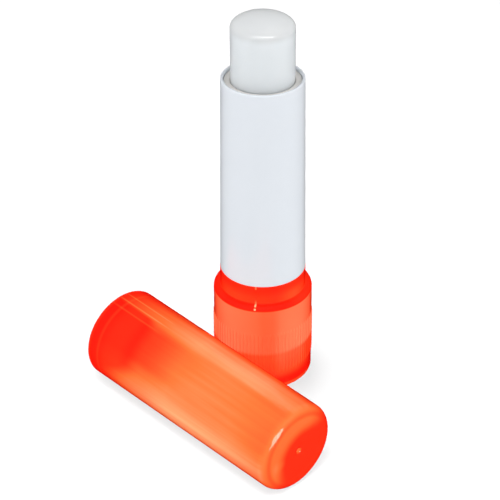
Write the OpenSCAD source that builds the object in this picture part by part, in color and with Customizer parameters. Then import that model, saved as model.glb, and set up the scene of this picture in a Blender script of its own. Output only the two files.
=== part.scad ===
// Twist-up lip balm stick, standing with its pull-off cap laid beside it.
// The stick's axis is Z and its foot stands on Z = 0. The cap lies along X.
// Turning the barrel against the base runs two lugs of the balm's cup along
// helical grooves in the barrel, while slots in the inner sleeve keep them straight.

/* [Base] */
// Radius of the base at its ledge, where it is widest above the ribs
base_r = 9.5; // [9.3:0.05:10.2]
// How much wider the base is at its foot
base_flare = 0.08; // [0:0.02:0.3]
// Height of the ledge that the cap closes on
ledge_z = 19.35; // [18.5:0.05:21]
// Rounding of the ledge's outer edge
ledge_round = 1; // [0.4:0.1:1.2]
// Rounding of the foot's edge
foot_round = 0.4; // [0.2:0.1:0.8]
// Radius of the neck that the cap slides over
neck_r = 8.2; // [8.2:0.01:8.3]
// Height of the neck above the ledge
neck_h = 3.8; // [3.2:0.1:4.4]
// Thickness of the base's floor
base_floor = 1.5; // [1:0.1:2.5]
// Height of the seat that the inner sleeve is pressed down on
seat_z = 7.6; // [6:0.1:8.5]

/* [Grip ribs] */
// Number of fine ribs round the lower half of the base
rib_count = 82; // [60:2:110]
// How far a rib stands out of the skirt
rib_rise = 0.12; // [0.08:0.02:0.2]
// Width of a rib at its root
rib_w = 0.36; // [0.28:0.02:0.4]
// Height at which the ribs start
rib_low_z = 3.6; // [2:0.1:4]
// Height at which the ribs end
rib_high_z = 13.2; // [12:0.1:15]

/* [Barrel] */
// Radius of the barrel just above the neck
barrel_low_r = 8.15; // [8.1:0.01:8.15]
// Radius of the barrel at its rim, narrower for draft
barrel_rim_r = 7.6; // [7.55:0.01:7.8]
// Radius of the barrel's bore
bore_r = 7.05; // [7.02:0.01:7.08]
// Height of the barrel's rim in the standing stick
rim_z = 63; // [63:0.5:66]
// Lift of the balm for one full turn of the barrel
helix_lead = 20; // [18:0.5:22]
// Depth of the helical grooves in the bore
groove_depth = 0.3; // [0.25:0.01:0.32]

/* [Balm] */
// Radius of the balm, which is also the inside of its cup
balm_r = 5.8; // [5.5:0.05:5.8]
// Height of the balm's top in the standing stick
balm_top_z = 75; // [72:0.5:77]
// Height of the balm's domed end
dome_h = 2.4; // [1.5:0.1:4]

/* [Twist-up travel] */
// Height of the lugs of the cup in the standing stick
lug_z = 37.2; // [36.5:0.1:37.6]
// How far the balm still rises from the standing stick
raise = 20; // [12:0.5:20]
// How far the balm goes down into the barrel
lower = 13; // [8:0.5:13]
// Radius of a lug
lug_r = 0.6; // [0.4:0.05:0.65]

/* [Cap] */
// Radius of the cap at its mouth
cap_mouth_r = 9.03; // [8.95:0.01:9.3]
// Radius of the cap at its closed end, narrower for draft
cap_end_r = 8.52; // [8.5:0.01:8.8]
// Length of the cap
cap_len = 48.15; // [47:0.05:52]
// Rounding of the cap's closed end
cap_round = 2; // [1:0.1:2.5]
// Wall thickness of the cap
cap_wall = 0.74; // [0.7:0.01:0.76]
// Place of the cap's mouth along X
cap_mouth_x = -16.6; // [-20:0.1:-14]
// Place of the cap's axis along Y
cap_axis_y = -21.6; // [-28:0.1:-20.5]

/* [Hidden] */
$fn = 96;
// Thin overlap that lets a cut run past the face it opens
eps = 0.01;

// Clearances between pieces that turn or slide on each other
turn_gap = 0.08;
end_gap = 0.05;

neck_top_z = ledge_z + neck_h;
// The barrel's plug turns in this socket of the base
socket_r = 7.7;
// Below the seat the base is cored out to keep its wall even
core_r = 6.9;

// Inner sleeve, turning inside the bore
sleeve_r = bore_r - turn_gap;
sleeve_in_r = sleeve_r - 0.59;
sleeve_foot_h = 4.2;
sleeve_rim_drop = 0.5;
sleeve_top_z = rim_z - sleeve_rim_drop;
// The sleeve's rim is turned in and guides the balm, just above the cup's highest place
sleeve_lip_h = 1.3;
sleeve_lip_gap = 0.12;
slot_w = 2 * lug_r + 0.3;
slot_end_gap = 0.4;

// Plug of the barrel and the snap bead that holds it in the base
plug_r = socket_r - turn_gap;
plug_low_z = seat_z + sleeve_foot_h + 0.2;
bead_z = plug_low_z + 2.6;
bead_h = 1.2;
bead_rise = 0.22;
bead_groove_gap = 0.1;

// Helical grooves, each as wide as this share of a turn
groove_half_angle = 16;
groove_end_gap = 0.2;
groove_low_z = lug_z - lower - lug_r - groove_end_gap;
groove_high_z = lug_z + raise + lug_r + groove_end_gap;
groove_slices_per_turn = 30;

// Cup that the balm is moulded into
cup_r = sleeve_in_r - turn_gap;
cup_h = 12;
cup_floor = 1;
cup_lug_rise = 8.5;
cup_low_z = lug_z - cup_lug_rise;
lug_tip_r = bore_r + groove_depth - 0.1;

// Cap, from its mouth at 0 to its closed end at cap_len
cap_tilt = asin((cap_mouth_r - cap_end_r) / cap_len);
cap_end_wall = 1.1;
cap_lead_in_len = 1.8;
cap_lead_in_r = neck_r + 0.42;
cap_bore_len = 4.2;
cap_bore_r = neck_r + 0.06;
cap_inner_round = 1.3;
gate_r = 0.55;
gate_depth = 0.3;

// Points of an arc about [x, y], from angle a to angle b
function arc(x, y, r, a, b, steps = 8) =
    [for (i = [0 : steps]) let (t = a + (b - a) * i / steps) [x + r * cos(t), y + r * sin(t)]];

// Radius of the base's skirt at height z, and of the cap's outside at depth s
function skirt_r(z) = base_r + base_flare * (1 - z / ledge_z);
function cap_r(s) = cap_mouth_r + (cap_end_r - cap_mouth_r) * s / cap_len;
function barrel_r(z) =
    barrel_low_r + (barrel_rim_r - barrel_low_r) * (z - neck_top_z) / (rim_z - neck_top_z);

// A round solid turned from a list of [radius, height] points
module turned(points) {
    rotate_extrude() polygon(points);
}

// A round bar along Z between two heights
module bar(r, low, high) {
    translate([0, 0, low]) cylinder(r = r, h = high - low);
}

// The fine ribs, as one toothed ring whose teeth stand out of the skirt
module grip_ribs() {
    root_r = base_r - 0.2;
    tip_r = base_r + base_flare / 2 + rib_rise;
    half_root = asin(rib_w / 2 / root_r);
    half_tip = half_root * 0.35;
    ring = [for (i = [0 : rib_count - 1]) let (a = 360 * i / rib_count)
        for (p = [[root_r, a - half_root], [tip_r, a - half_tip],
                  [tip_r, a + half_tip], [root_r, a + half_root]])
            [p[0] * cos(p[1]), p[0] * sin(p[1])]];
    translate([0, 0, rib_low_z]) linear_extrude(rib_high_z - rib_low_z) polygon(ring);
}

// Base: ribbed foot, ledge and neck in one cup, turned by the fingers
module base() {
    color([1, 0.36, 0.16])
    difference() {
        union() {
            turned(concat(
                [[0, 0]],
                arc(skirt_r(0) - foot_round, foot_round, foot_round, -90, 0),
                arc(base_r - ledge_round, ledge_z - ledge_round, ledge_round, 0, 90),
                [[neck_r, ledge_z]],
                arc(neck_r - 0.15, neck_top_z - 0.15, 0.15, 0, 90, 3),
                [[0, neck_top_z]]));
            grip_ribs();
        }
        bar(core_r, base_floor, seat_z + eps);
        bar(socket_r, seat_z, neck_top_z + eps);
        bar(socket_r + bead_rise, bead_z - bead_groove_gap, bead_z + bead_h + bead_groove_gap);
    }
}

// Inner sleeve: a tube pressed into the base, which turns with it and guides the cup's lugs
module inner_sleeve() {
    foot_top_z = seat_z + sleeve_foot_h;
    slot_low_z = lug_z - lower - lug_r - slot_end_gap;
    slot_high_z = lug_z + raise + lug_r + slot_end_gap;
    color([0.93, 0.94, 0.95])
    difference() {
        union() {
            bar(socket_r, seat_z, foot_top_z);
            bar(sleeve_r, seat_z, sleeve_top_z);
        }
        bar(sleeve_in_r, seat_z - eps, sleeve_top_z - sleeve_lip_h);
        bar(balm_r + sleeve_lip_gap, seat_z, sleeve_top_z + eps);
        translate([-10, -slot_w / 2, slot_low_z])
            cube([20, slot_w, slot_high_z - slot_low_z]);
    }
}

// One helical groove, from groove_low_z to groove_high_z, passing the lug at lug_z
module helical_groove(start_angle) {
    groove_h = groove_high_z - groove_low_z;
    turn = 360 * groove_h / helix_lead;
    low_angle = start_angle + 360 * (groove_low_z - lug_z) / helix_lead;
    inner_r = bore_r - 0.3;
    outer_r = bore_r + groove_depth;
    section = concat(
        arc(0, 0, inner_r, -groove_half_angle, groove_half_angle, 3),
        arc(0, 0, outer_r, groove_half_angle, -groove_half_angle, 5));
    translate([0, 0, groove_low_z]) rotate([0, 0, low_angle])
        linear_extrude(groove_h, twist = -turn, $fn = 10,
                       slices = round(groove_slices_per_turn * turn / 360))
            polygon(section);
}

// Barrel: the outer tube, with helical grooves inside and a plug that turns in the base
module barrel() {
    shoulder_z = neck_top_z + end_gap;
    color([0.95, 0.96, 0.98])
    difference() {
        turned(concat(
            [[bore_r, plug_low_z], [plug_r - 0.3, plug_low_z], [plug_r, plug_low_z + 0.4]],
            [[plug_r, bead_z], [plug_r + bead_rise, bead_z + 0.4]],
            [[plug_r + bead_rise, bead_z + bead_h - 0.4], [plug_r, bead_z + bead_h]],
            [[plug_r, shoulder_z], [barrel_low_r, shoulder_z]],
            arc(barrel_rim_r - 0.2, rim_z - 0.2, 0.2, 0, 90, 4),
            arc(bore_r + 0.15, rim_z - 0.15, 0.15, 90, 180, 3)));
        helical_groove(0);
        helical_groove(180);
    }
}

// Cup: holds the balm, with a lug on each side
module balm_cup() {
    color([0.9, 0.92, 0.93])
    difference() {
        union() {
            bar(cup_r, cup_low_z, cup_low_z + cup_h);
            translate([-lug_tip_r, 0, lug_z]) rotate([0, 90, 0])
                cylinder(r = lug_r, h = 2 * lug_tip_r, $fn = 32);
        }
        bar(balm_r, cup_low_z + cup_floor, cup_low_z + cup_h + eps);
    }
}

// Balm: a moulded bar with a domed end
module balm() {
    dome_steps = 14;
    dome_z = balm_top_z - dome_h;
    dome = [for (i = [0 : dome_steps]) let (a = 90 * i / dome_steps)
        [balm_r * cos(a), dome_z + dome_h * sin(a)]];
    color([0.9, 0.93, 0.94])
        turned(concat([[0, cup_low_z + cup_floor], [balm_r, cup_low_z + cup_floor]], dome));
}

// Cap standing on its mouth at the origin, closed end up
module cap_upright() {
    inner_end = cap_len - cap_end_wall;
    inner_r = cap_r(inner_end) - cap_wall;
    difference() {
        turned(concat(
            [[0, 0], [cap_mouth_r - 0.1, 0], [cap_mouth_r, 0.1]],
            arc(cap_end_r - cap_round, cap_len - cap_round, cap_round, 0, 90),
            [[0, cap_len]]));
        turned([[0, -eps], [cap_lead_in_r, -eps], [cap_bore_r, cap_lead_in_len], [0, cap_lead_in_len]]);
        bar(cap_bore_r, cap_lead_in_len - eps, cap_bore_len);
        turned(concat(
            [[0, cap_bore_len - 1], [cap_r(cap_bore_len) - cap_wall - 0.01, cap_bore_len - 1]],
            arc(inner_r - cap_inner_round, inner_end - cap_inner_round, cap_inner_round, 0, 90),
            [[0, inner_end]]));
        bar(gate_r, cap_len - gate_depth, cap_len + 1);
    }
}

// Cap: laid on its side with its closed end along +X, touching the floor all along
module cap() {
    color([1, 0.45, 0.2])
    translate([cap_mouth_x, cap_axis_y, 0])
        translate([0, 0, cap_mouth_r * cos(cap_tilt)])
            rotate([0, 90 + cap_tilt, 0])
                cap_upright();
}

base();
inner_sleeve();
barrel();
balm_cup();
balm();
cap();
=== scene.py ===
"""Looks of a twist-up lip balm stick: the stick with its balm raised, and its cap beside it."""
import math

import bpy
from mathutils import Matrix, Vector


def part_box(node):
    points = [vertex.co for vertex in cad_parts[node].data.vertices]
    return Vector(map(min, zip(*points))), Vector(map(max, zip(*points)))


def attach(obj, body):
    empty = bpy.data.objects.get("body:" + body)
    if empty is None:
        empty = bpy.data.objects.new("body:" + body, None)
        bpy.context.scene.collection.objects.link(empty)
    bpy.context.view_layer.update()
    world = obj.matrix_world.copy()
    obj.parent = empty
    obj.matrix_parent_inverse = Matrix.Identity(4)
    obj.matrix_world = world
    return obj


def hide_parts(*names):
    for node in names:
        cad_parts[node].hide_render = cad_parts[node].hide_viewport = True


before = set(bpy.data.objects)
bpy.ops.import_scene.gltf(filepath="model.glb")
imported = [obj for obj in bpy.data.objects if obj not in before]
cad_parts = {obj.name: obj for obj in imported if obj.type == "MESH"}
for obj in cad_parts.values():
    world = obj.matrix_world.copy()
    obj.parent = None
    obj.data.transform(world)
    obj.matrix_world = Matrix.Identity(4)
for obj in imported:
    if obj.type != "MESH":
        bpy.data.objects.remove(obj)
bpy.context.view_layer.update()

MM = 0.001


def outward(azimuth, reach=1.0, height=0.0):
    """Point at a distance from the stick's axis, at an angle from -Y toward +X."""
    return (reach * math.sin(azimuth), -reach * math.cos(azimuth), height)


# Camera: where the photograph was taken from, worked out from the outlines of the stick and cap

CAMERA_AZIMUTH = math.radians(46.0)
CAMERA_REACH = 0.2431
CAMERA_HEIGHT = 0.1845
CAMERA_PITCH = math.radians(33.06)
CAMERA_LENS = 109.4
CAMERA_SENSOR = 36
CAMERA_SHIFT = -0.0256
CAMERA_NEAREST = 0.01


def add_camera():
    data = bpy.data.cameras.new("camera")
    data.lens = CAMERA_LENS
    data.sensor_width = CAMERA_SENSOR
    data.shift_x = CAMERA_SHIFT
    data.clip_start = CAMERA_NEAREST
    camera = bpy.data.objects.new("camera", data)
    camera.location = outward(CAMERA_AZIMUTH, CAMERA_REACH, CAMERA_HEIGHT)
    camera.rotation_euler = (math.pi / 2 - CAMERA_PITCH, 0, CAMERA_AZIMUTH)
    bpy.context.scene.collection.objects.link(camera)
    bpy.context.scene.camera = camera


add_camera()


# Sizes, in metres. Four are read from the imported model. The others are those of its source,
# apart from the parting lines and the smallest edges, which it doesn't have.

NECK_TOP_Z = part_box("base")[1].z
RIM_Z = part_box("barrel")[1].z
BALM_LOW_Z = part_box("balm")[0].z
BALM_TOP_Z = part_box("balm")[1].z

BASE_R = 9.5 * MM
BASE_FLARE = 0.08 * MM
LEDGE_Z = 19.35 * MM
LEDGE_ROUND = 1.0 * MM
FOOT_ROUND = 0.4 * MM
NECK_R = 8.2 * MM
NECK_ROUND = 0.15 * MM
FLOOR_Z = 1.5 * MM
SEAT_Z = 7.6 * MM
SOCKET_R = 7.7 * MM
CORE_R = 6.9 * MM
RIB_COUNT = 82
RIB_RISE = 0.12 * MM
RIB_POWER = 0.8         # below 1, so the ribs are wider than the crests of a wave
RIB_LOW_Z = 3.6 * MM
RIB_HIGH_Z = 13.2 * MM
RIB_FADE = 0.5 * MM
RIB_FROM_R = BASE_R - 0.02 * MM

# The side of the base that the photograph shows, as an angle from -Y toward +X. The parting line
# is a little to the left of its middle, and its own angle is counted from +X toward +Y.
BASE_FACE = math.radians(46.0)
PARTING_LEFT = 9.3
PARTING_ANGLE = BASE_FACE - math.radians(90 + PARTING_LEFT)
PARTING_W = 0.32 * MM
PARTING_RISE = 0.05 * MM
PARTING_SINK = 0.005 * MM

BARREL_LOW_R = 8.15 * MM
BARREL_RIM_R = 7.6 * MM
RIM_ROUND = 0.22 * MM
BORE_R = 7.05 * MM
BORE_ROUND = 0.18 * MM
BORE_SLACK = 0.01 * MM
PLUG_R = 7.62 * MM
PLUG_LOW_Z = 12.0 * MM
PLUG_CHAMFER_W = 0.3 * MM
PLUG_CHAMFER_H = 0.4 * MM
SHOULDER_Z = 23.2 * MM
SHOULDER_ROUND = 0.1 * MM
BEAD_Z = 14.6 * MM
BEAD_H = 1.2 * MM
BEAD_RISE = 0.22 * MM
BEAD_FLANK = 0.4 * MM
BEAD_PLAY = 0.1 * MM
HELIX_LEAD = 20 * MM
LUG_Z = 37.2 * MM
GROOVE_DEPTH = 0.3 * MM
GROOVE_HALF_ANGLE = math.radians(16)
GROOVE_FLANK = math.radians(1.5)
GROOVE_LOW_Z = 23.4 * MM
GROOVE_HIGH_Z = 58.0 * MM
GROOVE_END = 0.02 * MM

BALM_R = 5.8 * MM
DOME_H = 2.4 * MM

CAP_MOUTH_R = 9.03 * MM
CAP_END_R = 8.52 * MM
CAP_LEN = 48.15 * MM
CAP_ROUND = 2.0 * MM
CAP_LIP_ROUND = 0.15 * MM
CAP_WALL = 0.74 * MM
CAP_END_WALL = 1.1 * MM
CAP_LEAD_IN_LEN = 1.8 * MM
CAP_LEAD_IN_R = 8.62 * MM
CAP_BORE_LEN = 4.2 * MM
CAP_BORE_R = 8.26 * MM
CAP_INNER_ROUND = 1.3 * MM
GATE_R = 0.55 * MM
GATE_DEPTH = 0.3 * MM
GATE_LIP = 0.12 * MM
GATE_BEVEL = 0.1 * MM

# How the cap lies: the middle of its mouth, and its axes toward its closed end and upward
CAP_TILT = math.asin((CAP_MOUTH_R - CAP_END_R) / CAP_LEN)
CAP_ORIGIN = Vector((-16.6 * MM, -21.6 * MM, CAP_MOUTH_R * math.cos(CAP_TILT)))
CAP_AXIS = Vector((math.cos(CAP_TILT), 0, -math.sin(CAP_TILT)))
CAP_UP = Vector((math.sin(CAP_TILT), 0, math.cos(CAP_TILT)))


# How fine the meshes are: the longest step along an outline, and the steps round the axis

BASE_STEP = 0.25 * MM
PARTING_STEP = 0.2 * MM
BARREL_STEP = 1.0 * MM
BORE_STEP = 0.28 * MM
BALM_STEP = 0.6 * MM
CAP_STEP = 0.6 * MM
CAP_INNER_STEP = 0.8 * MM

STEPS_PER_RIB = 8
STEPS_ACROSS_PARTING = 8
STEPS_ROUND_BARREL = 360
STEPS_ROUND_BALM = 160
STEPS_ROUND_CAP = 256
DOME_STEPS = 24

ON_AXIS = 1e-7          # a point of an outline nearer to the axis than this is on it
SHARP_ANGLE = math.radians(40)


# Mesh building

def arc(r, z, radius, start, end, steps=8):
    """Points of an arc about (r, z), from angle start to end in degrees."""
    angles = [math.radians(start + (end - start) * i / steps) for i in range(steps + 1)]
    return [(r + radius * math.cos(a), z + radius * math.sin(a)) for a in angles]


def line(first, last, step):
    """Points from first to last, no further apart than step, without the last one."""
    count = max(1, math.ceil(math.dist(first, last) / step))
    return [tuple(a + (b - a) * i / count for a, b in zip(first, last)) for i in range(count)]


def densify(points, step):
    """The same outline with its long stretches divided."""
    dense = []
    for first, last in zip(points, points[1:]):
        dense += line(first, last, step)
    return dense + [points[-1]]


def add_piece(name, verts, faces):
    """A smoothly shaded object with a mesh of its own."""
    mesh = bpy.data.meshes.new(name)
    mesh.from_pydata(verts, [], faces)
    mesh.update()
    mesh.shade_smooth()
    piece = bpy.data.objects.new(name, mesh)
    bpy.context.scene.collection.objects.link(piece)
    return piece


def turned(name, profile, segments, radius=None, closed=True):
    """A solid of revolution. radius(angle, r, z) may shift a point in or out. A profile that
    starts and ends on the axis isn't joined end to end, and is given as not closed."""
    verts, rings = [], []
    for r, z in profile:
        if r < ON_AXIS:
            rings.append([len(verts)])
            verts.append((0, 0, z))
            continue
        ring = []
        for i in range(segments):
            a = 2 * math.pi * i / segments
            q = radius(a, r, z) if radius else r
            ring.append(len(verts))
            verts.append((q * math.cos(a), q * math.sin(a), z))
        rings.append(ring)
    faces = []
    pairs = list(zip(rings, rings[1:])) + ([(rings[-1], rings[0])] if closed else [])
    for low, high in pairs:
        if len(low) == 1 and len(high) == 1:
            continue
        for i in range(segments):
            j = (i + 1) % segments
            if len(low) == 1:
                faces.append((low[0], high[j], high[i]))
            elif len(high) == 1:
                faces.append((low[i], low[j], high[0]))
            else:
                faces.append((low[i], low[j], high[j], high[i]))
    piece = add_piece(name, verts, faces)
    piece.data.set_sharp_from_angle(angle=SHARP_ANGLE)
    return piece


def place(piece, body, node, material):
    piece.data.materials.append(material)
    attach(piece, body)
    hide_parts(node)


# Node trees

MIX_A, MIX_B, MIX_RESULT = 6, 7, 2      # the colour sockets of a Mix node
GRAIN_DETAIL = 2.0


class Nodes:
    """A short way to write a node tree. Values may be numbers, colours or sockets."""

    def __init__(self, tree):
        self.tree = tree

    def add(self, kind, inputs=None, **settings):
        node = self.tree.nodes.new(kind)
        for key, value in settings.items():
            setattr(node, key, value)
        for key, value in (inputs or {}).items():
            if isinstance(value, bpy.types.NodeSocket):
                self.tree.links.new(value, node.inputs[key])
            else:
                node.inputs[key].default_value = value
        return node

    def maths(self, operation, *values):
        return self.add("ShaderNodeMath", dict(enumerate(values)), operation=operation).outputs[0]

    def total(self, first, *others):
        for other in others:
            first = self.maths("ADD", first, other)
        return first

    def product(self, first, *others):
        for other in others:
            first = self.maths("MULTIPLY", first, other)
        return first

    def less(self, value):
        """1 - value."""
        return self.maths("SUBTRACT", 1.0, value)

    def past(self, value, start):
        """How far value is past start, or 0."""
        return self.maths("MAXIMUM", 0.0, self.maths("SUBTRACT", value, start))

    def length(self, x, y):
        return self.maths("SQRT", self.total(self.product(x, x), self.product(y, y)))

    def fade(self, value, start, end, low=0.0, high=1.0, kind="SMOOTHSTEP"):
        """low on the side of start, high past end, with a soft step between."""
        node = self.add("ShaderNodeMapRange",
                        {"Value": value, "From Min": start, "From Max": end,
                         "To Min": low, "To Max": high}, interpolation_type=kind)
        return node.outputs[0]

    def spread(self, value, low, high):
        """A value from 0 to 1 spread evenly from low to high."""
        return self.fade(value, 0.0, 1.0, low, high, "LINEAR")

    def window(self, value, start, end, soft, high=1.0):
        """high between start and end, 0 outside, with soft steps centred on both."""
        rise = self.fade(value, start - soft / 2, start + soft / 2)
        fall = self.fade(value, end + soft / 2, end - soft / 2, 0.0, high)
        return self.product(rise, fall)

    def fades(self, value, rows):
        return [self.fade(value, *row) for row in rows]

    def windows(self, value, rows):
        return [self.window(value, *row) for row in rows]

    def where(self):
        """The shaded point, in the object's own space."""
        return self.add("ShaderNodeTexCoord").outputs["Object"]

    def along(self, where, direction, origin=(0, 0, 0)):
        """Distance of a point from origin along a direction, in millimetres."""
        shifted = self.add("ShaderNodeVectorMath", {0: where, 1: origin}, operation="SUBTRACT")
        dot = self.add("ShaderNodeVectorMath", {0: shifted.outputs[0], 1: direction},
                       operation="DOT_PRODUCT")
        return self.product(dot.outputs["Value"], 1 / MM)

    def angle(self, across, ahead):
        """Angle in degrees, 0 where across is 0 and ahead is positive."""
        return self.product(self.maths("ARCTAN2", across, ahead), math.degrees(1))

    def noise(self, where, scale, detail):
        node = self.add("ShaderNodeTexNoise", {"Vector": where, "Scale": scale, "Detail": detail})
        return node.outputs["Fac"]

    def grain(self, where, scale, strength, distance):
        """Normal of a finely uneven surface."""
        height = self.noise(where, scale, GRAIN_DETAIL)
        return self.add("ShaderNodeBump", {"Height": height, "Strength": strength,
                                           "Distance": distance}).outputs[0]

    def mixed(self, factor, first, second, **settings):
        """Colour between two RGB colours or colour sockets."""
        pair = [colour if isinstance(colour, bpy.types.NodeSocket) else (*colour, 1)
                for colour in (first, second)]
        node = self.add("ShaderNodeMix", {"Factor": factor, MIX_A: pair[0], MIX_B: pair[1]},
                        data_type="RGBA", **settings)
        return node.outputs[MIX_RESULT]

    def show(self, shader):
        """Makes a shader the material's surface."""
        self.add("ShaderNodeOutputMaterial", {"Surface": shader.outputs[0]})


def new_material(name):
    """A material, and the writer of its empty node tree."""
    material = bpy.data.materials.new(name)
    material.use_nodes = True
    material.node_tree.nodes.clear()
    return material, Nodes(material.node_tree)


# Masks that say how light the orange plastic's tint is, from 0 up; most of them paint light and
# shade into it
#
# A fade is (where it starts, where it ends, value before, value after), with 0 and 1 as the
# values where they are left out. A window is (start, end, softness of its ends, value between),
# with 1 as the value. Lengths are in millimetres and angles in degrees.
#
# On the cap the depth is counted from the mouth, and the angle from the top toward -Y.

CAP_LEVEL = 0.75
# Bands of painted light and shade round the cap's axis
CAP_LIGHT_AND_SHADE_BANDS = (
    (-26, 10, 14, 0.43),        # a painted streak of light along the top
    (84, 117, 34, 0.95),        # the lightest painted light, low on the -Y side
    (52, 78, 24, 0.09),
    (5, 12, 6, -0.11),
    (-120, -28, 18, -0.1),      # painted shade on the +Y side
    (103, 111, 7, 0.09))
# Painted shade along the cap's underside
CAP_UNDERSIDE_SHADE = (111, 120, 0.0, -0.16)
CAP_RISE = (0, 22, 0.0, 1.0, "LINEAR")
CAP_FALL = (31, 50, 1.0, 0.64)
CAP_DARKEST = 0.018

STREAK_SCALE = (0.03, 0.12)     # along the axis and round it, so the streaks run along it
STREAK_DETAIL = 3.0
STREAKS = (0.25, 0.75, 0.88, 1.12)

# The deep red patch of painted shade near the mouth: how deep it reaches by the angle, and how soft
# its edge is
DEEP_FROM = (4, 9)
DEEP_REACH = (6, 28, 10.5, 12.0)
DEEP_SHORTER = (70, 106, 0.0, 6.5)
DEEP_LEAST = 4.0
DEEP_SOFTNESS = 2.0
DEEP_SOFTER_FROM = 58.0
DEEP_SOFTER_FOR = 40.0
DEEP_SOFTER_BY = 0.06           # millimetres for each degree
DEEP_EDGE = (1.0, -0.8)         # in units of the softness
DEEP_SHARE = 0.8

# More painted shade near the mouth, from near the top partway down the -Y side
MOUTH_SHADE_ANGLE = (12, 66, 20)
MOUTH_SHADE_DEPTH = (29, 13)
MOUTH_SHADE_SHARE = 0.7

# Painted light near the mouth: a light ring, a glow, a light mouth edge and light lines along the
# axis
MOUTH_RING = (2.5, 3.1, 0.5, 0.075)
MOUTH_GLOW = (3.9, 9.5, 3.0, 0.035)
MOUTH_GLOW_ANGLES = ((5, 11), (112, 90))
MOUTH_EDGE = (1.0, 0.5, 0.0, 0.05)
MOUTH_LINES = ((-8.0, -6.2, 1.4), (2.8, 4.6, 1.4), (15, 17, 2, 0.35))
MOUTH_LINES_DEPTH = (1, 13, 5, 0.4)

# The closed end: painted shade in a round area off its middle, and painted light round it on one
# side
END_FROM = (46.6, 47.6)
END_LEVEL = 0.105
END_DARK_OFF = (1.76, 1.48)     # downward and toward +Y
END_DARK_R = (4.7, 7.4)
END_LIT = 0.6
END_LIT_ANGLE = (-44, 136, 44)
END_GATE = (0.75, 0.3, 0.0, 0.6)
# a painted reflection of the floor, low on the -Y side
END_REFLECTION_ANGLE = (90, 110, 18, 0.16)
END_REFLECTION_R = (3.7, 6.3, 1.4)
# a ring of painted shade on the side with painted light
END_RING = (6.9, 7.7, 0.8, -0.3)


# Painted light and shade on the closed end
def cap_end_lightness(n, up, side, around):
    reach = n.length(up, side)
    off = n.length(n.total(up, END_DARK_OFF[0]), n.total(side, END_DARK_OFF[1]))
    lit = n.window(around, *END_LIT_ANGLE)
    floor_reflection = n.product(n.window(around, *END_REFLECTION_ANGLE), n.window(reach, *END_REFLECTION_R))
    return n.total(END_LEVEL, n.product(n.fade(off, *END_DARK_R), lit, END_LIT),
                   n.fade(reach, *END_GATE), floor_reflection, n.product(n.window(reach, *END_RING), lit))


def cap_lightness(n, where):
    """Painted light and shade on the cap: deep red painted shade near the open mouth and in the
    middle of the closed end, painted light along the top, and the lightest painted light low on the
    -Y side."""
    depth = n.along(where, CAP_AXIS, CAP_ORIGIN)
    up = n.along(where, CAP_UP, CAP_ORIGIN)
    side = n.along(where, (0, -1, 0), CAP_ORIGIN)
    around = n.angle(side, up)

    bands = n.total(CAP_LEVEL, *n.windows(around, CAP_LIGHT_AND_SHADE_BANDS), n.fade(around, *CAP_UNDERSIDE_SHADE))
    rise = n.product(n.fade(depth, *CAP_RISE), n.fade(depth, *CAP_FALL))
    flow = n.add("ShaderNodeCombineXYZ", {0: n.product(depth, STREAK_SCALE[0]),
                                          1: n.product(around, STREAK_SCALE[1])})
    streaks = n.fade(n.noise(flow.outputs[0], 1.0, STREAK_DETAIL), *STREAKS)

    deep_to = n.maths("SUBTRACT", n.fade(around, *DEEP_REACH), n.fade(around, *DEEP_SHORTER))
    deep_to = n.maths("MAXIMUM", DEEP_LEAST, deep_to)
    softer = n.maths("MINIMUM", n.past(around, DEEP_SOFTER_FROM), DEEP_SOFTER_FOR)
    softness = n.total(DEEP_SOFTNESS, n.product(softer, DEEP_SOFTER_BY))
    beyond = n.maths("DIVIDE", n.maths("SUBTRACT", depth, deep_to), softness)
    deep = n.product(n.fade(around, *DEEP_FROM), n.fade(beyond, *DEEP_EDGE))
    mouth_shade = n.product(n.window(around, *MOUTH_SHADE_ANGLE), n.fade(depth, *MOUTH_SHADE_DEPTH))
    wall = n.product(bands, rise, streaks, n.less(n.product(deep, DEEP_SHARE)),
                     n.less(n.product(mouth_shade, MOUTH_SHADE_SHARE)))

    glow = n.product(n.window(depth, *MOUTH_GLOW), *n.fades(around, MOUTH_GLOW_ANGLES))
    lines = n.product(n.total(*n.windows(around, MOUTH_LINES)),
                      n.window(depth, *MOUTH_LINES_DEPTH))
    wall = n.total(wall, n.window(depth, *MOUTH_RING), glow, n.fade(depth, *MOUTH_EDGE), lines,
                   CAP_DARKEST)

    at_end = n.fade(depth, *END_FROM)
    return n.total(n.product(wall, n.less(at_end)),
                   n.product(cap_end_lightness(n, up, side, around), at_end))


# On the base the angle is counted from BASE_FACE toward the right of that side.

SKIRT_TOP = (18.58, 18.25)
INSERT_FROM = (7.9, 8.9)        # the height from which the white pieces stand behind the wall
# The rows by angle paint light and shade round the axis, on the lower and upper skirt, the neck and
# the ledge
LOW_HEIGHTS = ((1.8, 4.8, 0.0, 0.29), (4.5, 8.0, 0.0, 0.1))
LOW_ANGLES = ((8, 24, 0.65, 1.15), (44, 70, 1.0, 0.6))
HIGH_LEVEL = 0.72
HIGH_ANGLES = ((0, -50, 0.0, 0.63, "LINEAR"), (10, 22, 0.0, 0.3), (18, 52, 0.0, 0.5, "LINEAR"))
HIGH_HEIGHT = (9, 16, 0.66, 0.63)
NECK_HEIGHTS = ((19.3, 19.6), (22.6, 20.2, 0.033, 0.106))
NECK_ANGLES = ((0, -55, 0.0, 0.9), (15, 50, 0.0, 2.0))
LEDGE_HEIGHT = (18.6, 19.5, 0.2)
LEDGE_LEVEL = 0.008
LEDGE_ANGLES = ((25, 55, 0.0, 0.065), (-45, -70, 0.0, 0.025))
# Painted light along the foot's lower edge, toward the right
FOOT_HEIGHT = (1.15, 0.7, 0.0, 0.26)
FOOT_ANGLE = (10, 30)
BASE_DARKEST = 0.025

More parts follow.
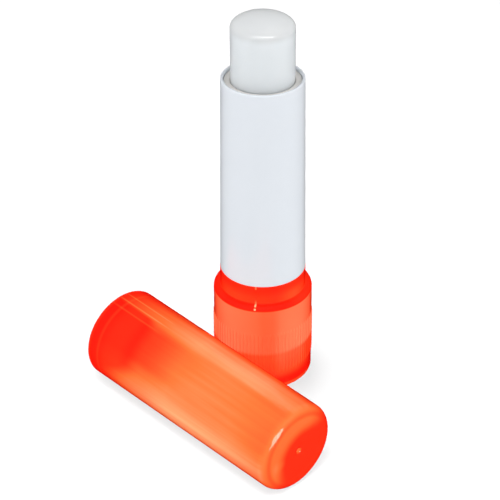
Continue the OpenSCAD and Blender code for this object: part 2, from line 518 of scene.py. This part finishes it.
# Painted highlights on the parting line: white glints painted on the ledge and its corner, and a
# little at the foot of the neck and its top
GLINT_ANGLE = (-10.4, -8.2, 0.6, 1.9)
GLINT_LEDGE_REACHES = ((8.26, 8.4), (9.15, 9.0))
GLINT_LEDGE_HEIGHT = (19.1, 19.25)
GLINT_CORNER = (18.7, 19.0, 0.2)
GLINT_ROOT_REACH = (8.4, 8.2)
GLINT_ROOT_HEIGHT = (20.4, 19.3, 0.0, 0.35)
GLINT_TOP = (22.5, 22.8, 0.0, 0.3)


# The painted glints along the parting line
def parting_painted_glint(n, height, around, reach):
    ledge = n.product(*n.fades(reach, GLINT_LEDGE_REACHES), n.fade(height, *GLINT_LEDGE_HEIGHT))
    root = n.product(n.fade(reach, *GLINT_ROOT_REACH), n.fade(height, *GLINT_ROOT_HEIGHT))
    return n.product(n.window(around, *GLINT_ANGLE),
                     n.total(ledge, n.window(height, *GLINT_CORNER), root,
                             n.fade(height, *GLINT_TOP)))


def base_lightness(n, where):
    """Painted light and shade on the base: lighter where the white pieces stand behind the wall,
    and deep red in the foot, the ledge and the neck. The bands of painted light and shade round the
    axis are those of the photographed side. Behind, each end carries on unchanged, and they meet in
    a faint step. The parting line gets painted glints."""
    height = n.along(where, (0, 0, 1))
    ahead = n.along(where, outward(BASE_FACE))
    across = n.along(where, (math.cos(BASE_FACE), math.sin(BASE_FACE), 0))
    around = n.angle(across, ahead)

    low = n.product(n.total(*n.fades(height, LOW_HEIGHTS)), *n.fades(around, LOW_ANGLES))
    high = n.product(n.total(HIGH_LEVEL, *n.fades(around, HIGH_ANGLES)),
                     n.fade(height, *HIGH_HEIGHT))
    insert = n.fade(height, *INSERT_FROM)
    skirt = n.product(n.total(n.product(low, n.less(insert)), n.product(high, insert)),
                      n.fade(height, *SKIRT_TOP))
    neck = n.product(*n.fades(height, NECK_HEIGHTS), n.total(1.0, *n.fades(around, NECK_ANGLES)))
    ledge = n.product(n.window(height, *LEDGE_HEIGHT),
                      n.total(LEDGE_LEVEL, *n.fades(around, LEDGE_ANGLES)))
    foot = n.product(n.fade(height, *FOOT_HEIGHT), n.fade(around, *FOOT_ANGLE))
    return n.total(BASE_DARKEST, skirt, neck, ledge, foot,
                   parting_painted_glint(n, height, around, n.length(across, ahead)))


# Materials

DEEP_TINT = (1.0, 0.004, 0.002)     # the deep red, at the low end of the masks, where they paint shade
LIGHT_TINT = (1.0, 0.36, 0.088)     # the milky orange where the masks paint light
# A faint red glow all over the orange plastic: painted light that keeps it full red in shade
PAINTED_RED_GLOW = (1.0, 0.02, 0.006)
PAINTED_RED_GLOW_STRENGTH = 0.15
NOISE_SPAN = (0.3, 0.7)             # most of a noise's values lie between these
TINT_DRIFT = (0.96, 1.04)
ORANGE_ROUGHNESS = (0.07, 0.1)

WHITE_DRIFT = 0.98

WAX_TONES = ((0.59, 0.59, 0.585), (0.63, 0.625, 0.615))
WAX_ROUGHNESS = (0.3, 0.42)
WAX_SIDE_TONE_AND_DOME_SHADE = ((1.04, 1.09, 1.135), (0.86, 0.885, 0.91))      # the side's tone, and the dome's painted shade
DOME_EDGE = (3.6, 1.6)              # millimetres below the top


def tinted_plastic(name, lightness, pale_from, pale_blue, clear_share, edge_tint):
    """Translucent orange plastic. lightness(n, where) says how light the tint is, from 0 up, and so
    paints light and shade into it. Past the level pale_from it turns paler, by pale_blue more blue
    for each whole level. The share clear_share is see-through, and edge_tint deepens the colour at
    grazing angles. A faint red glow all over is painted light."""
    material, n = new_material(name)
    where = n.where()
    drift = n.noise(where, 90.0, 3.0)
    level = n.product(lightness(n, where), n.fade(drift, *NOISE_SPAN, *TINT_DRIFT))
    body = n.mixed(level, DEEP_TINT, LIGHT_TINT, clamp_factor=False)
    body = n.mixed(n.past(level, pale_from), body, (0, 0, pale_blue), blend_type="ADD",
                   clamp_factor=False)
    shell = n.add("ShaderNodeBsdfPrincipled", {
        "Base Color": body, "IOR": 1.45,
        "Roughness": n.fade(drift, *NOISE_SPAN, *ORANGE_ROUGHNESS),
        "Coat Weight": 1.0, "Coat IOR": 1.0, "Coat Roughness": 0.1, "Coat Tint": (*edge_tint, 1),
        "Emission Color": (*PAINTED_RED_GLOW, 1), "Emission Strength": PAINTED_RED_GLOW_STRENGTH,
        "Normal": n.grain(where, 900.0, 0.015, 0.0002)})
    clear = n.add("ShaderNodeBsdfTransparent", {"Color": body})
    n.show(n.add("ShaderNodeMixShader",
                 {"Fac": clear_share, 1: shell.outputs[0], 2: clear.outputs[0]}))
    return material


def white_plastic(name, colour, roughness, soak):
    """Moulded white plastic with a fine grain and slightly uneven gloss. Light soaks in by soak,
    in metres."""
    material, n = new_material(name)
    where = n.where()
    drift = n.noise(where, 45.0, 3.0)
    n.show(n.add("ShaderNodeBsdfPrincipled", {
        "Base Color": n.mixed(drift, [c * WHITE_DRIFT for c in colour], colour),
        "Roughness": n.spread(drift, *roughness), "IOR": 1.5,
        "Subsurface Weight": 0.6, "Subsurface Scale": soak, "Subsurface Radius": (1.0, 1.0, 1.0),
        "Normal": n.grain(where, 1200.0, 0.02, 0.0002)}))
    return material


def balm_wax():
    """Milky wax: light soaks a little way in, and the surface has a faint moulded unevenness. Its
    dome is painted darker and warmer than its side, as painted shade.
    """
    material, n = new_material("balm_wax")
    where = n.where()
    drift = n.noise(where, 120.0, 4.0)
    dome = n.fade(n.along(where, (0, 0, -1), (0, 0, BALM_TOP_Z)), *DOME_EDGE)
    n.show(n.add("ShaderNodeBsdfPrincipled", {
        "Base Color": n.mixed(1.0, n.mixed(drift, *WAX_TONES), n.mixed(dome, *WAX_SIDE_TONE_AND_DOME_SHADE),
                              blend_type="MULTIPLY"),
        "Roughness": n.spread(drift, *WAX_ROUGHNESS), "IOR": 1.44,
        "Subsurface Weight": 0.85, "Subsurface Scale": 0.005,
        "Subsurface Radius": (1.0, 0.97, 0.94),
        "Coat Weight": 0.5, "Coat Roughness": 0.12, "Coat IOR": 1.45,
        "Normal": n.grain(where, 260.0, 0.06, 0.0003)}))
    return material


ORANGE_BASE = tinted_plastic("base_plastic", base_lightness, pale_from=0.3, pale_blue=0.14,
                             clear_share=0.15, edge_tint=(0.99, 0.76, 0.7))
ORANGE_CAP = tinted_plastic("cap_plastic", cap_lightness, pale_from=0.66, pale_blue=0.17,
                            clear_share=0.25, edge_tint=(0.99, 0.86, 0.8))
BARREL_WHITE = white_plastic("barrel_plastic", (0.66, 0.69, 0.73), (0.16, 0.24), 0.0006)
SLEEVE_WHITE = white_plastic("sleeve_plastic", (0.82, 0.79, 0.75), (0.3, 0.4), 0.002)
CUP_WHITE = white_plastic("cup_plastic", (0.62, 0.64, 0.65), (0.3, 0.4), 0.002)
BALM = balm_wax()


# Base

def skirt_r(z):
    return BASE_R + BASE_FLARE * (1 - z / LEDGE_Z)


def soft_window(z, low, high, fade):
    """1 between low and high, falling to 0 over the length fade inside each end."""
    t = min((z - low) / fade, (high - z) / fade, 1)
    t = max(t, 0)
    return t * t * (3 - 2 * t)


def rib_radius(angle, r, z):
    """Raises the finger ribs on the outside."""
    if r < RIB_FROM_R:
        return r
    wave = max(0.0, math.cos(RIB_COUNT * angle)) ** RIB_POWER
    return r + RIB_RISE * wave * soft_window(z, RIB_LOW_Z, RIB_HIGH_Z, RIB_FADE)


def ledge_arc(start, end):
    return arc(BASE_R - LEDGE_ROUND, LEDGE_Z - LEDGE_ROUND, LEDGE_ROUND, start, end, 12)


def neck_top_arc(start, end, steps):
    return arc(NECK_R - NECK_ROUND, NECK_TOP_Z - NECK_ROUND, NECK_ROUND, start, end, steps)


def add_base():
    outside = densify(
        [(0, 0)]
        + arc(skirt_r(0) - FOOT_ROUND, FOOT_ROUND, FOOT_ROUND, -90, 0)
        + ledge_arc(0, 90)
        + arc(NECK_R + NECK_ROUND, LEDGE_Z + NECK_ROUND, NECK_ROUND, -90, -180, 4)
        + neck_top_arc(0, 90, 5), BASE_STEP)
    groove_r = SOCKET_R + BEAD_RISE
    groove_low, groove_high = BEAD_Z - BEAD_PLAY, BEAD_Z + BEAD_H + BEAD_PLAY
    inside = [(SOCKET_R, NECK_TOP_Z), (SOCKET_R, groove_high), (groove_r, groove_high),
              (groove_r, groove_low), (SOCKET_R, groove_low), (SOCKET_R, SEAT_Z),
              (CORE_R, SEAT_Z), (CORE_R, FLOOR_Z), (0, FLOOR_Z)]
    piece = turned("base_shell", outside + inside, RIB_COUNT * STEPS_PER_RIB, rib_radius,
                   closed=False)
    place(piece, "base", "base", ORANGE_BASE)
    return piece


def add_parting_lines():
    """The mould's fine raised parting line over the neck and ledge, once on each side."""
    path = densify(neck_top_arc(60, 0, 4) + [(NECK_R, LEDGE_Z)] + ledge_arc(90, 0), PARTING_STEP)
    row = STEPS_ACROSS_PARTING + 1
    verts, faces = [], []
    for a in (PARTING_ANGLE, PARTING_ANGLE + math.pi):
        first_row = len(verts)
        for i, (r, z) in enumerate(path):
            before, after = path[max(i - 1, 0)], path[min(i + 1, len(path) - 1)]
            slope = Vector((after[0] - before[0], after[1] - before[1])).normalized()
            for k in range(row):
                share = k / STEPS_ACROSS_PARTING
                rise = PARTING_RISE * math.sin(math.pi * share) - PARTING_SINK
                q, h = r - slope.y * rise, z + slope.x * rise
                side = PARTING_W * (share - 0.5)
                verts.append((q * math.cos(a) - side * math.sin(a),
                              q * math.sin(a) + side * math.cos(a), h))
        for i in range(len(path) - 1):
            for k in range(STEPS_ACROSS_PARTING):
                v = first_row + i * row + k
                faces.append((v, v + row, v + row + 1, v + 1))
    piece = add_piece("parting_lines", verts, faces)
    piece.data.materials.append(ORANGE_BASE)
    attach(piece, "base")
    return piece


# Barrel

def groove_radius(angle, r, z):
    """Carves the two helical grooves into the bore."""
    past_end = z <= GROOVE_LOW_Z - GROOVE_END / 2 or z >= GROOVE_HIGH_Z + GROOVE_END / 2
    if abs(r - BORE_R) > BORE_SLACK or past_end:
        return r
    centre = 2 * math.pi * (z - LUG_Z) / HELIX_LEAD
    off = (angle - centre + math.pi / 2) % math.pi - math.pi / 2
    edge = (GROOVE_HALF_ANGLE - abs(off)) / GROOVE_FLANK
    return r + GROOVE_DEPTH * min(max(edge, 0), 1)


def add_barrel():
    bead_r = PLUG_R + BEAD_RISE
    outside = densify(
        [(PLUG_R - PLUG_CHAMFER_W, PLUG_LOW_Z), (PLUG_R, PLUG_LOW_Z + PLUG_CHAMFER_H),
         (PLUG_R, BEAD_Z), (bead_r, BEAD_Z + BEAD_FLANK), (bead_r, BEAD_Z + BEAD_H - BEAD_FLANK),
         (PLUG_R, BEAD_Z + BEAD_H), (PLUG_R, SHOULDER_Z)]
        + arc(BARREL_LOW_R - SHOULDER_ROUND, SHOULDER_Z + SHOULDER_ROUND, SHOULDER_ROUND, -90, 0, 4)
        + arc(BARREL_RIM_R - RIM_ROUND, RIM_Z - RIM_ROUND, RIM_ROUND, 0, 90, 6)
        + arc(BORE_R + BORE_ROUND, RIM_Z - BORE_ROUND, BORE_ROUND, 90, 180, 5), BARREL_STEP)
    bore_heights = (RIM_Z - BORE_ROUND, GROOVE_HIGH_Z + GROOVE_END, GROOVE_HIGH_Z,
                    GROOVE_LOW_Z, GROOVE_LOW_Z - GROOVE_END, PLUG_LOW_Z)
    bore = densify([(BORE_R, z) for z in bore_heights], BORE_STEP)
    piece = turned("barrel_tube", outside + bore[1:], STEPS_ROUND_BARREL, groove_radius)
    place(piece, "barrel", "barrel", BARREL_WHITE)
    return piece


# Balm

def add_balm():
    dome_z = BALM_TOP_Z - DOME_H
    angles = [math.pi / 2 * i / DOME_STEPS for i in range(DOME_STEPS)]
    dome = [(BALM_R * math.cos(a), dome_z + DOME_H * math.sin(a)) for a in angles]
    outline = densify([(0, BALM_LOW_Z), (BALM_R, BALM_LOW_Z)] + dome + [(0, BALM_TOP_Z)],
                      BALM_STEP)
    piece = turned("balm_bullet", outline, STEPS_ROUND_BALM, closed=False)
    place(piece, "balm_carrier", "balm", BALM)
    return piece


# Cap

def cap_r(s):
    return CAP_MOUTH_R + (CAP_END_R - CAP_MOUTH_R) * s / CAP_LEN


def add_cap():
    """Turned as if it stood on its mouth, and then laid on its side."""
    inner_end = CAP_LEN - CAP_END_WALL
    inner_r = cap_r(inner_end) - CAP_WALL
    gate_z = CAP_LEN - GATE_DEPTH
    outside = densify(
        [(CAP_MOUTH_R - CAP_LIP_ROUND, 0)]
        + arc(CAP_MOUTH_R - CAP_LIP_ROUND, CAP_LIP_ROUND, CAP_LIP_ROUND, -90, 0, 4)
        + arc(CAP_END_R - CAP_ROUND, CAP_LEN - CAP_ROUND, CAP_ROUND, 0, 90, 14)
        + [(GATE_R + GATE_LIP, CAP_LEN), (GATE_R, CAP_LEN - GATE_BEVEL),
           (GATE_R - GATE_BEVEL, gate_z), (0, gate_z)], CAP_STEP)
    inside = densify(
        [(0, inner_end)]
        + arc(inner_r - CAP_INNER_ROUND, inner_end - CAP_INNER_ROUND, CAP_INNER_ROUND, 90, 0)
        + [(cap_r(CAP_BORE_LEN) - CAP_WALL, CAP_BORE_LEN), (CAP_BORE_R, CAP_BORE_LEN),
           (CAP_BORE_R, CAP_LEAD_IN_LEN), (CAP_LEAD_IN_R, 0)], CAP_INNER_STEP)
    piece = turned("cap_shell", outside + inside, STEPS_ROUND_CAP)
    piece.data.transform(Matrix.Translation(CAP_ORIGIN)
                         @ Matrix.Rotation(math.pi / 2 + CAP_TILT, 4, "Y"))
    place(piece, "cap", "cap", ORANGE_CAP)
    return piece


BASE_PIECES = [add_base(), add_parting_lines()]
CAP_PIECE = add_cap()
ORANGE_PIECES = BASE_PIECES + [CAP_PIECE]
for piece in ORANGE_PIECES:
    piece.visible_diffuse = False       # so they don't tint the white pieces and the floor

BALM_PIECE = add_balm()
WHITE_PIECES = [BALM_PIECE, add_barrel()]
for node_name, material in (("inner_sleeve", SLEEVE_WHITE), ("balm_cup", CUP_WHITE)):
    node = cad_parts[node_name]
    node.data.materials.clear()
    node.data.materials.append(material)
    WHITE_PIECES.append(node)


# Floor, lights and world

FLOOR_HALF = 0.6
FLOOR_GREY = (0.17, 0.17, 0.17)
LIGHTS_AIM = Vector((0, -0.01, 0.03))

WORLD_FRONT = 1.2
WORLD_BACK = 0.25
WORLD_MIRRORED = 0.12               # share of it that glossy plastic mirrors
WORLD_LIFT = math.radians(40)
WORLD_SOFTNESS = 0.7


def add_floor():
    s = FLOOR_HALF
    floor = add_piece("floor", [(-s, -s, 0), (s, -s, 0), (s, s, 0), (-s, s, 0)], [(0, 1, 2, 3)])
    material, n = new_material("floor_white")
    n.show(n.add("ShaderNodeBsdfPrincipled",
                 {"Base Color": (*FLOOR_GREY, 1), "Roughness": 0.6, "Specular IOR Level": 0.1}))
    floor.data.materials.append(material)
    floor.visible_glossy = False
    return floor


def group_of(name, pieces):
    group = bpy.data.collections.new(name)
    for piece in pieces:
        group.objects.link(piece)
    return group


def add_light(name, azimuth, height, reach, size, power, lit=None, shadows_of=None, spark=False):
    """A light aimed at the object. It lights only the pieces lit, and only the pieces shadows_of
    cast shadows in it, where these are given. Soft lights aren't seen as highlights, and a spark
    is seen only as one."""
    data = bpy.data.lights.new(name, "AREA")
    data.shape = "RECTANGLE"
    data.size, data.size_y = size
    data.energy = power
    light = bpy.data.objects.new(name, data)
    light.location = outward(CAMERA_AZIMUTH + math.radians(azimuth), reach, height)
    light.rotation_euler = (LIGHTS_AIM - light.location).to_track_quat("-Z", "Y").to_euler()
    light.visible_glossy = spark
    light.visible_diffuse = not spark
    bpy.context.scene.collection.objects.link(light)
    if lit:
        light.light_linking.receiver_collection = group_of(name + "_lit", lit)
    if shadows_of:
        light.light_linking.blocker_collection = group_of(name + "_blocked", shadows_of)


def add_world():
    """A white studio, brighter in front and above than behind, and darker where it is mirrored."""
    world = bpy.data.worlds.new("studio")
    world.use_nodes = True
    n = Nodes(world.node_tree)
    bright = outward(CAMERA_AZIMUTH, math.cos(WORLD_LIFT), math.sin(WORLD_LIFT))
    where = n.add("ShaderNodeTexCoord").outputs["Generated"]
    toward = n.add("ShaderNodeVectorMath", {0: where, 1: bright}, operation="DOT_PRODUCT")
    level = n.fade(toward.outputs["Value"], -WORLD_SOFTNESS, WORLD_SOFTNESS, WORLD_BACK,
                   WORLD_FRONT)
    mirrored = n.add("ShaderNodeLightPath").outputs["Is Glossy Ray"]
    strength = n.product(level, n.spread(mirrored, 1.0, WORLD_MIRRORED))
    background = n.tree.nodes["Background"]
    background.inputs["Color"].default_value = (1, 1, 1, 1)
    n.tree.links.new(strength, background.inputs["Strength"])
    bpy.context.scene.world = world


# Each light has a name, an angle from the camera's azimuth in degrees, a height, a distance from
# the axis and a size in metres, and a power in watts. The pieces it is kept for come next, and
# then the pieces that cast shadows in it.

FLOOR = add_floor()
SOFT_LIGHTS = (
    ("floor_soft", 0, 0.8, 0.0, (1.4, 1.4), 39, [FLOOR]),
    ("floor_front", -9, 0.8, 0.42, (0.32, 0.32), 15.5, [FLOOR], [CAP_PIECE]),
    ("floor_back", -155, 0.8, 0.26, (0.35, 0.35), 8.5, [FLOOR], BASE_PIECES),
    ("top_soft", -20, 0.9, 0.25, (0.6, 0.6), 1.6, ORANGE_PIECES),
    ("balm_top", 180, 0.8, 0.5, (0.5, 0.5), 3.9, [BALM_PIECE]),
    ("left_soft", -70, 0.35, 0.7, (0.3, 0.5), 0.95),
    ("right_soft", 60, 0.35, 0.7, (0.2, 0.5), 0.85),
    ("white_left", -95, 0.1, 0.7, (0.4, 0.5), 0.55, WHITE_PIECES),
    ("white_right", 85, 0.1, 0.7, (0.4, 0.5), 0.8, WHITE_PIECES))
SPARKS = (
    ("cap_spark", 26, 0.126, 0.52, (0.3, 0.3), 5.0, [CAP_PIECE]),
    ("balm_spark", 0, 0.41, 0.37, (0.6, 0.05), 2.4, [BALM_PIECE]))

for light in SOFT_LIGHTS:
    add_light(*light)
for light in SPARKS:
    add_light(*light, spark=True)
add_world()
bpy.context.scene.view_settings.view_transform = "Standard"
